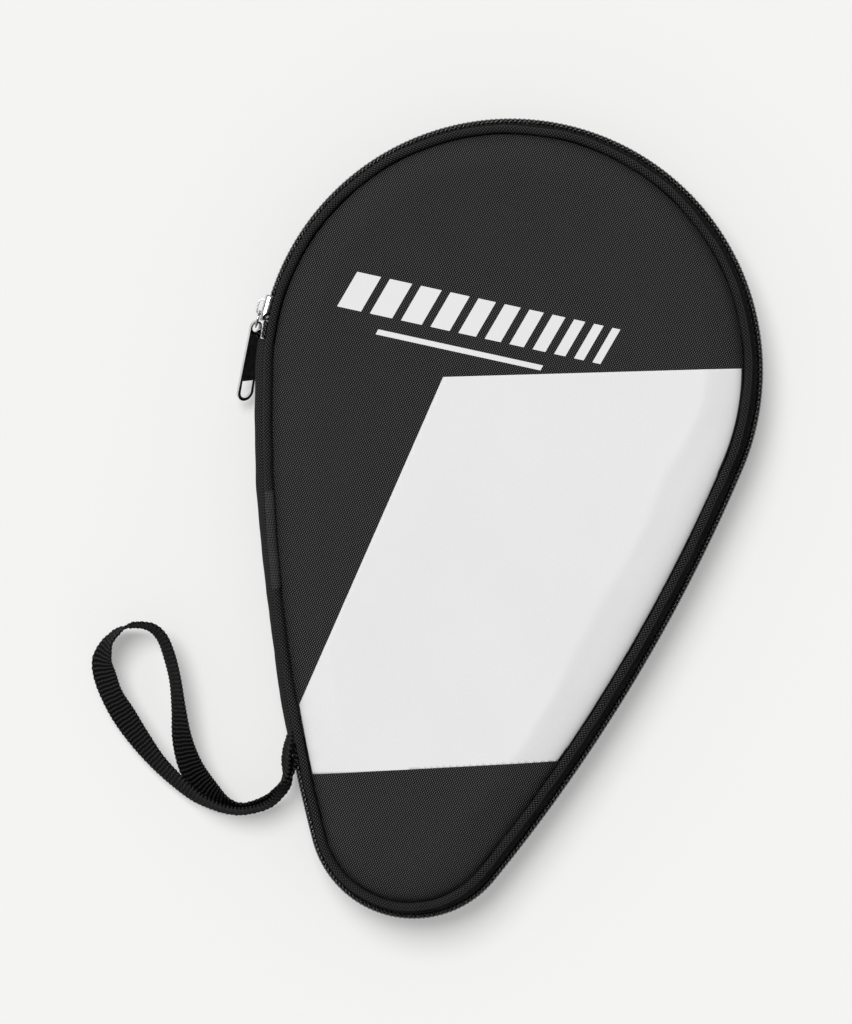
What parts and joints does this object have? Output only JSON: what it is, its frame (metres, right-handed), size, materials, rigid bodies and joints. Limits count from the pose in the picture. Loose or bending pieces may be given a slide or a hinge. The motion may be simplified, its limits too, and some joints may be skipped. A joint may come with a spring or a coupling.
{
  "type": "paddle case",
  "caption": "Padded bat-shaped zip case for a table-tennis paddle: two half shells joined by a fabric spine, coil zipper with a metal pull, piped edges and a wrist strap.",
  "frame": {"origin": "on the flat back face, below the centre of the round head", "axes": "+Z out of the printed front cover, +Y from the tip to the round head, +X to the side opposite the spine and the strap"},
  "size_m": [0.2209, 0.3, 0.0342],
  "materials": {
    "woven_cover": "charcoal woven polyester with a fine diagonal rib",
    "foam": "closed-cell foam padding",
    "lining": "brushed black lining",
    "piping_tape": "twill bias tape",
    "piping_cord": "extruded filler cord",
    "zip_tape": "fine matte zipper tape",
    "zip_coil": "moulded nylon coil",
    "binding": "ribbed seam binding",
    "piping_sleeve": "dotted woven tape",
    "gusset": "herringbone tape",
    "zip_metal": "black-lacquered crimped stops",
    "print_film": "smooth printed film",
    "nickel": "bright nickel plating",
    "pull_inlay": "black soft-touch inlay",
    "webbing": "ribbed webbing",
    "thread": "bar-tack thread"
  },
  "bodies": {
    "back_shell": {"back_cover": "woven_cover", "back_foam": "foam", "back_lining": "lining", "back_piping_tape": "piping_tape", "back_piping_cord": "piping_cord", "back_zip_tape": "zip_tape", "back_zip_coil": "zip_coil", "back_seam_binding": "binding", "back_piping_sleeve": "piping_sleeve", "spine_gusset": "gusset", "zip_top_stop": "zip_metal", "zip_bottom_stop": "zip_metal"},
    "front_shell": {"front_cover": "woven_cover", "front_foam": "foam", "front_lining": "lining", "front_piping_tape": "piping_tape", "front_piping_cord": "piping_cord", "front_zip_tape": "zip_tape", "front_zip_coil": "zip_coil", "front_seam_binding": "binding", "front_piping_sleeve": "piping_sleeve", "front_colour_block": "print_film", "front_bar_print": "print_film"},
    "slider": {"slider_body": "nickel", "slider_crown": "nickel"},
    "link": {"pull_link": "nickel"},
    "pull": {"pull_tab": "nickel", "pull_inlay": "pull_inlay"},
    "strap": {"wrist_strap": "webbing", "strap_bar_tacks": "thread"}
  },
  "joints": [
    {"name": "cover_hinge", "type": "hinge", "parent": "back_shell", "child": "front_shell", "pos_m": [-0.10184, -0.01279, 0.017], "axis": [0.2858, -0.9583, 0], "range_deg": [0, 172], "deforming": ["spine_gusset", "wrist_strap", "strap_bar_tacks"]},
    {"name": "slider_travel", "type": "hinge", "parent": "back_shell", "child": "slider", "pos_m": [0, 0, 0.017], "axis": [0, 0, -1], "range_deg": [0, 184]},
    {"name": "link_swing", "type": "hinge", "parent": "slider", "child": "link", "pos_m": [-0.0955, 0.00173, 0.017], "axis": [0, 0, -1], "range_deg": [0, 120]},
    {"name": "pull_swing", "type": "hinge", "parent": "link", "child": "pull", "pos_m": [-0.09571, -0.00446, 0.017], "axis": [0, 0, -1], "range_deg": [0, 40]},
    {"name": "strap_swing", "type": "hinge", "parent": "back_shell", "child": "strap", "pos_m": [-0.0526, -0.1518, 0.0095], "axis": [0, 0, -1], "range_deg": [0, 35]}
  ]
}
